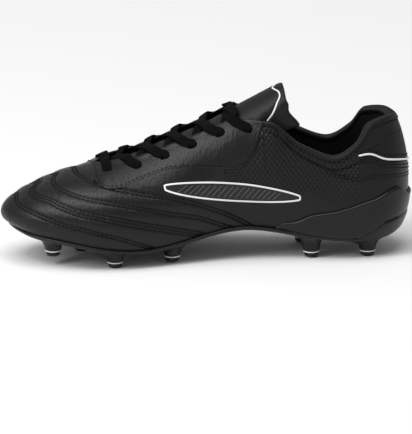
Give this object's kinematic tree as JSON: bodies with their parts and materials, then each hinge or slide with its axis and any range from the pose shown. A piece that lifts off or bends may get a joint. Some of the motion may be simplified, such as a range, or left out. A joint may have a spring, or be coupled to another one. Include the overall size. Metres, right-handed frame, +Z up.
{
  "type": "soccer cleat",
  "caption": "Low-cut firm-ground soccer cleat with a stitched leather vamp, padded collar and tongue, flat lace, moulded heel counter and studded plate.",
  "frame": {"origin": "on the ground under the middle of the shoe's length and width", "axes": "+X from toe to heel, +Y to the lateral (outer) side, +Z up"},
  "size_m": [0.291, 0.0964, 0.1228],
  "materials": {
    "sole": "satin moulded black",
    "stud_ring": "silver-white ring",
    "stud_tip": "hard black",
    "shank": "spring steel",
    "board": "fibre board",
    "sockliner": "foam with knitted cover",
    "leather": "soft black, fine grain",
    "quarter": "black synthetic leather",
    "white_trim": "white piping",
    "counter": "satin moulded black",
    "lining": "black knitted lining over foam",
    "stiffener": "thermoplastic sheet",
    "tongue": "padded black synthetic leather",
    "badge": "printed black with a white edge",
    "lace": "flat woven black"
  },
  "bodies": {
    "shoe": {"outsole_plate": "sole", "stud_ring_toe_medial": "stud_ring", "stud_tip_toe_medial": "stud_tip", "stud_ring_toe_lateral": "stud_ring", "stud_tip_toe_lateral": "stud_tip", "stud_ring_ball_medial": "stud_ring", "stud_tip_ball_medial": "stud_tip", "stud_ring_ball_lateral": "stud_ring", "stud_tip_ball_lateral": "stud_tip", "stud_ring_waist_medial": "stud_ring", "stud_tip_waist_medial": "stud_tip", "stud_ring_waist_lateral": "stud_ring", "stud_tip_waist_lateral": "stud_tip", "stud_ring_centre_front": "stud_ring", "stud_tip_centre_front": "stud_tip", "stud_ring_centre_rear": "stud_ring", "stud_tip_centre_rear": "stud_tip", "stud_ring_heel_front_medial": "stud_ring", "stud_tip_heel_front_medial": "stud_tip", "stud_ring_heel_front_lateral": "stud_ring", "stud_tip_heel_front_lateral": "stud_tip", "stud_ring_heel_rear_medial": "stud_ring", "stud_tip_heel_rear_medial": "stud_tip", "stud_ring_heel_rear_lateral": "stud_ring", "stud_tip_heel_rear_lateral": "stud_tip", "shank": "shank", "insole_board": "board", "vamp": "leather", "medial_quarter": "quarter", "lateral_quarter": "quarter", "medial_eyestay": "leather", "lateral_eyestay": "leather", "heel_panel": "quarter", "heel_tab": "lining", "heel_piping": "white_trim", "heel_counter": "counter", "collar_lining": "lining", "heel_stiffener": "stiffener", "toe_puff": "stiffener", "tongue": "tongue", "medial_badge": "badge", "lateral_badge": "badge", "lace": "lace"},
    "tongue_flap": {"tongue_top": "tongue"},
    "insert": {"sockliner": "sockliner"}
  },
  "joints": [
    {"name": "tongue_fold", "type": "hinge", "parent": "shoe", "child": "tongue_flap", "pos_m": [0.0325, 0, 0.1115], "axis": [0, 1, 0], "range_deg": [-45, 0], "stiffness_Nm_per_rad": 0.1},
    {"name": "sockliner_lift", "type": "hinge", "parent": "shoe", "child": "insert", "pos_m": [-0.132, 0, 0.0297], "axis": [0, 1, 0], "range_deg": [-3, 0]}
  ]
}
